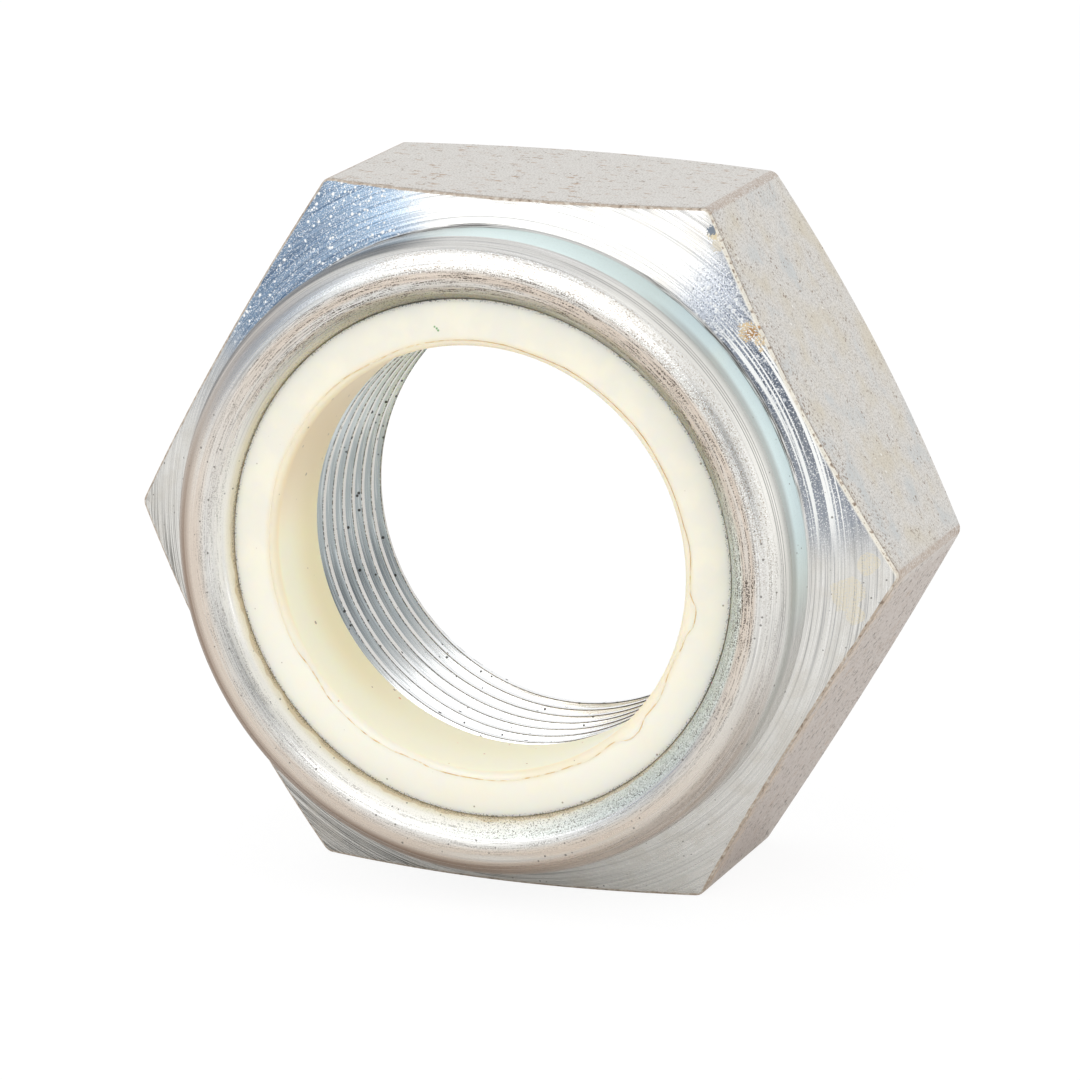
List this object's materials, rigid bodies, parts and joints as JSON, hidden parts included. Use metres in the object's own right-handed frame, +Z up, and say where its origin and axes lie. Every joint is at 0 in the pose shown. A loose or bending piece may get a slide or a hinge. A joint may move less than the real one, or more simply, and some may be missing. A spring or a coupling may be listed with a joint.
{
  "type": "lock nut",
  "caption": "Thin hexagon lock nut in zinc-plated steel with a rolled collar that holds a nylon locking ring.",
  "frame": {"origin": "centre of the flat bearing face, on the thread axis", "axes": "+Y along the thread axis, out of the bearing face; the nylon ring faces -Y; +Z up, square to the hexagon flat that the nut stands on"},
  "size_m": [0.0472, 0.0207, 0.041],
  "materials": {
    "zinc_plated_steel": "turned and zinc plated, lightly stained on the flats",
    "nylon": "natural cream-white moulded nylon"
  },
  "bodies": {
    "root": {"nut_body": "zinc_plated_steel", "locking_insert": "nylon"}
  },
  "joints": []
}
